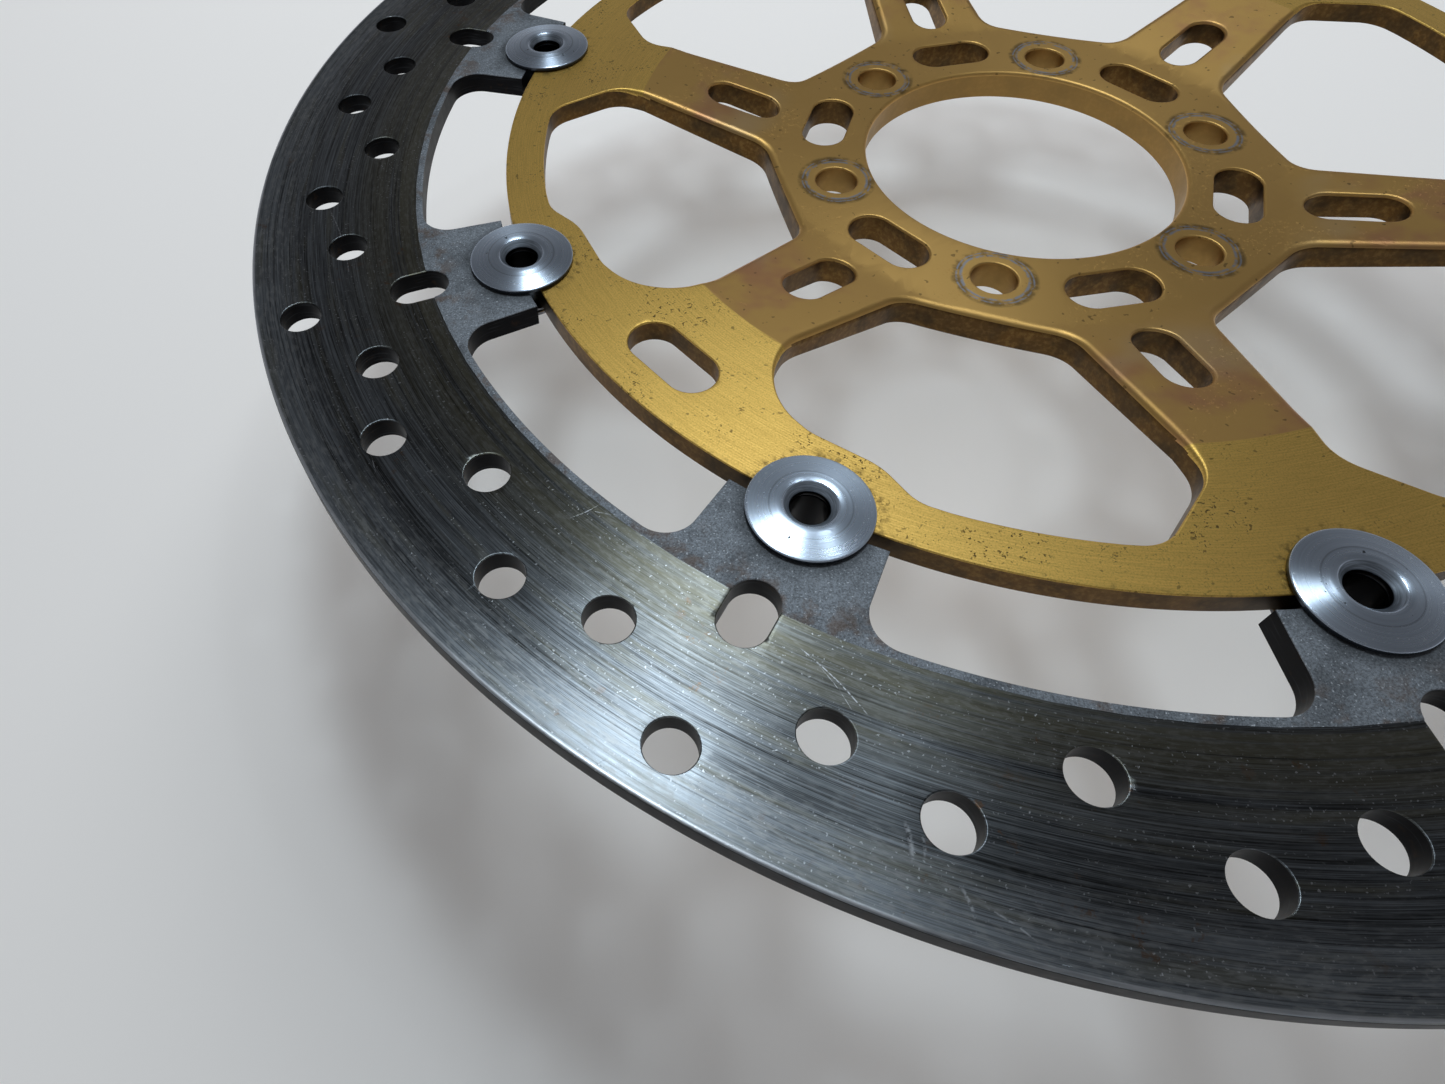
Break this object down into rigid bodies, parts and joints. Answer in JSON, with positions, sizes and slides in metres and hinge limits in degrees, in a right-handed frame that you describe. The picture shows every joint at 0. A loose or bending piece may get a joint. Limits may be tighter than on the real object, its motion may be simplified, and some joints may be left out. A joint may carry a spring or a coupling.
{
  "type": "brake disc rotor",
  "caption": "Floating motorcycle brake disc: drilled steel rotor ring held to a gold spoked aluminium carrier by flanged bobbins that turn in half-round notches.",
  "frame": {"origin": "centre of the wheel bore on the hub's rear mounting face", "axes": "+Z along the wheel axle, away from the wheel, towards the flanges of the bobbins; +X through a wheel bolt hole"},
  "size_m": [0.32, 0.32, 0.0133],
  "materials": {
    "gold_anodised": "gold anodised, satin",
    "rotor_steel": "ground and worn stainless steel",
    "bobbin_steel": "bright turned steel",
    "retainer_steel": "dark spring steel"
  },
  "bodies": {
    "carrier": {"carrier": "gold_anodised"},
    "rotor": {"brake_rotor": "rotor_steel"},
    "bobbin_set_1": {"bobbin_1": "bobbin_steel", "wave_spring_1": "retainer_steel", "flat_washer_1": "retainer_steel", "circlip_1": "retainer_steel"},
    "bobbin_set_2": {"bobbin_2": "bobbin_steel", "wave_spring_2": "retainer_steel", "flat_washer_2": "retainer_steel", "circlip_2": "retainer_steel"},
    "bobbin_set_3": {"bobbin_3": "bobbin_steel", "wave_spring_3": "retainer_steel", "flat_washer_3": "retainer_steel", "circlip_3": "retainer_steel"},
    "bobbin_set_4": {"bobbin_4": "bobbin_steel", "wave_spring_4": "retainer_steel", "flat_washer_4": "retainer_steel", "circlip_4": "retainer_steel"},
    "bobbin_set_5": {"bobbin_5": "bobbin_steel", "wave_spring_5": "retainer_steel", "flat_washer_5": "retainer_steel", "circlip_5": "retainer_steel"},
    "bobbin_set_6": {"bobbin_6": "bobbin_steel", "wave_spring_6": "retainer_steel", "flat_washer_6": "retainer_steel", "circlip_6": "retainer_steel"},
    "bobbin_set_7": {"bobbin_7": "bobbin_steel", "wave_spring_7": "retainer_steel", "flat_washer_7": "retainer_steel", "circlip_7": "retainer_steel"},
    "bobbin_set_8": {"bobbin_8": "bobbin_steel", "wave_spring_8": "retainer_steel", "flat_washer_8": "retainer_steel", "circlip_8": "retainer_steel"},
    "bobbin_set_9": {"bobbin_9": "bobbin_steel", "wave_spring_9": "retainer_steel", "flat_washer_9": "retainer_steel", "circlip_9": "retainer_steel"}
  },
  "joints": [
    {"name": "rotor_float", "type": "slide", "parent": "carrier", "child": "rotor", "axis": [0, 0, 1], "range_m": [0, 0.0002]},
    {"name": "bobbin_spin_1", "type": "hinge", "parent": "carrier", "child": "bobbin_set_1", "pos_m": [0.09466, 0.05465, 0.007], "axis": [0, 0, 1], "continuous": true},
    {"name": "bobbin_spin_2", "type": "hinge", "parent": "carrier", "child": "bobbin_set_2", "pos_m": [0.03738, 0.10271, 0.007], "axis": [0, 0, 1], "continuous": true},
    {"name": "bobbin_spin_3", "type": "hinge", "parent": "carrier", "child": "bobbin_set_3", "pos_m": [-0.03738, 0.10271, 0.007], "axis": [0, 0, 1], "continuous": true},
    {"name": "bobbin_spin_4", "type": "hinge", "parent": "carrier", "child": "bobbin_set_4", "pos_m": [-0.09466, 0.05465, 0.007], "axis": [0, 0, 1], "continuous": true},
    {"name": "bobbin_spin_5", "type": "hinge", "parent": "carrier", "child": "bobbin_set_5", "pos_m": [-0.10764, -0.01898, 0.007], "axis": [0, 0, 1], "continuous": true},
    {"name": "bobbin_spin_6", "type": "hinge", "parent": "carrier", "child": "bobbin_set_6", "pos_m": [-0.07026, -0.08373, 0.007], "axis": [0, 0, 1], "continuous": true},
    {"name": "bobbin_spin_7", "type": "hinge", "parent": "carrier", "child": "bobbin_set_7", "pos_m": [0, -0.1093, 0.007], "axis": [0, 0, 1], "continuous": true},
    {"name": "bobbin_spin_8", "type": "hinge", "parent": "carrier", "child": "bobbin_set_8", "pos_m": [0.07026, -0.08373, 0.007], "axis": [0, 0, 1], "continuous": true},
    {"name": "bobbin_spin_9", "type": "hinge", "parent": "carrier", "child": "bobbin_set_9", "pos_m": [0.10764, -0.01898, 0.007], "axis": [0, 0, 1], "continuous": true}
  ]
}
